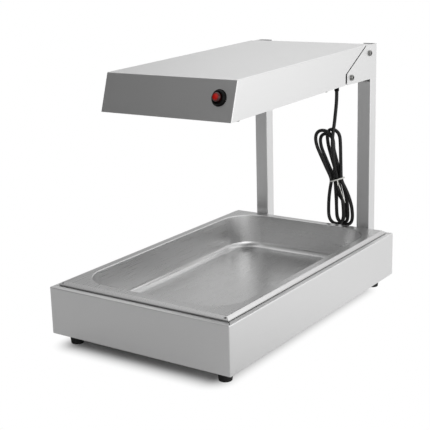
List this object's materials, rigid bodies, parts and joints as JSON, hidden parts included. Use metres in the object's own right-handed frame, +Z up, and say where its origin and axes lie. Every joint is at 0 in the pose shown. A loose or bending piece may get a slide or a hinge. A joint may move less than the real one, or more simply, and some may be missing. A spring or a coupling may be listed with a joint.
{
  "type": "fry warmer",
  "caption": "Counter-top fry warmer: stainless base with a lift-out food pan, rear posts that carry a heat hood over the pan, a lit push button and a tied mains lead.",
  "frame": {"origin": "on the table, under the middle of the base and posts taken together", "axes": "+Z up, +Y to the rear where the posts stand, +X to the right as seen from the switch end"},
  "size_m": [0.349, 0.5983, 0.4476],
  "materials": {
    "stainless": "fine straight brushed grain",
    "pan_steel": "satin, softly polished",
    "reflector_aluminium": "bright rolled",
    "plated_steel": "zinc plated, bright",
    "black_rubber": "matt moulded",
    "quartz": "clear, slightly milky",
    "resistance_wire": "oxidised",
    "steatite": "unglazed",
    "black_plastic": "smooth moulded",
    "red_lens": "clear red moulding, lit from behind",
    "brass": "stamped",
    "white_nylon": "moulded",
    "red_sleeve": "heat-proof wire sleeve",
    "core_insulation": "wire insulation",
    "cord_sheath": "smooth sheath"
  },
  "bodies": {
    "warmer": {"base_front": "stainless", "base_left": "stainless", "base_rear": "stainless", "base_right": "stainless", "bottom_plate": "stainless", "bottom_plate_screws": "plated_steel", "ceramic_end_caps": "steatite", "cord_gland": "black_plastic", "cord_tie": "white_nylon", "ear_nuts": "plated_steel", "ear_screws": "plated_steel", "earth_nuts": "plated_steel", "earth_stud": "plated_steel", "foot_front_left": "black_rubber", "foot_front_right": "black_rubber", "foot_nuts": "plated_steel", "foot_rear_left": "black_rubber", "foot_rear_right": "black_rubber", "foot_screws": "plated_steel", "front_end_plate": "reflector_aluminium", "gland_nut": "black_plastic", "heating_coil_left": "resistance_wire", "heating_coil_right": "resistance_wire", "hood_rear_cap": "stainless", "hood_shell": "stainless", "lamp_studs": "plated_steel", "left_post": "stainless", "mains_cores": "core_insulation", "plug_body": "black_plastic", "plug_pins": "plated_steel", "post_rivet_nuts": "plated_steel", "post_screws": "plated_steel", "power_cord_drop": "cord_sheath", "power_cord_entry": "cord_sheath", "power_cord_hank": "cord_sheath", "power_cord_tail": "cord_sheath", "quartz_tube_left": "quartz", "quartz_tube_right": "quartz", "rear_end_plate": "reflector_aluminium", "reflector": "reflector_aluminium", "right_post": "stainless", "switch_body": "black_plastic", "switch_feed_lead": "red_sleeve", "switch_nut": "black_plastic", "switch_terminals": "brass", "terminal_block": "white_nylon", "terminal_block_screws": "plated_steel", "tube_feed_lead": "red_sleeve", "tube_links": "brass", "tube_return_lead": "red_sleeve", "underside_screws": "plated_steel", "wire_guard": "stainless"},
    "pan": {"food_pan": "pan_steel"},
    "button": {"switch_button": "red_lens"}
  },
  "joints": [
    {"name": "pan_lift", "type": "slide", "parent": "warmer", "child": "pan", "axis": [0, 0, 1], "range_m": [0, 0.12]},
    {"name": "button_press", "type": "slide", "parent": "warmer", "child": "button", "axis": [0, 0.9505, -0.3106], "range_m": [0, 0.0025], "stiffness_N_per_m": 400, "springref_m": -0.002}
  ]
}
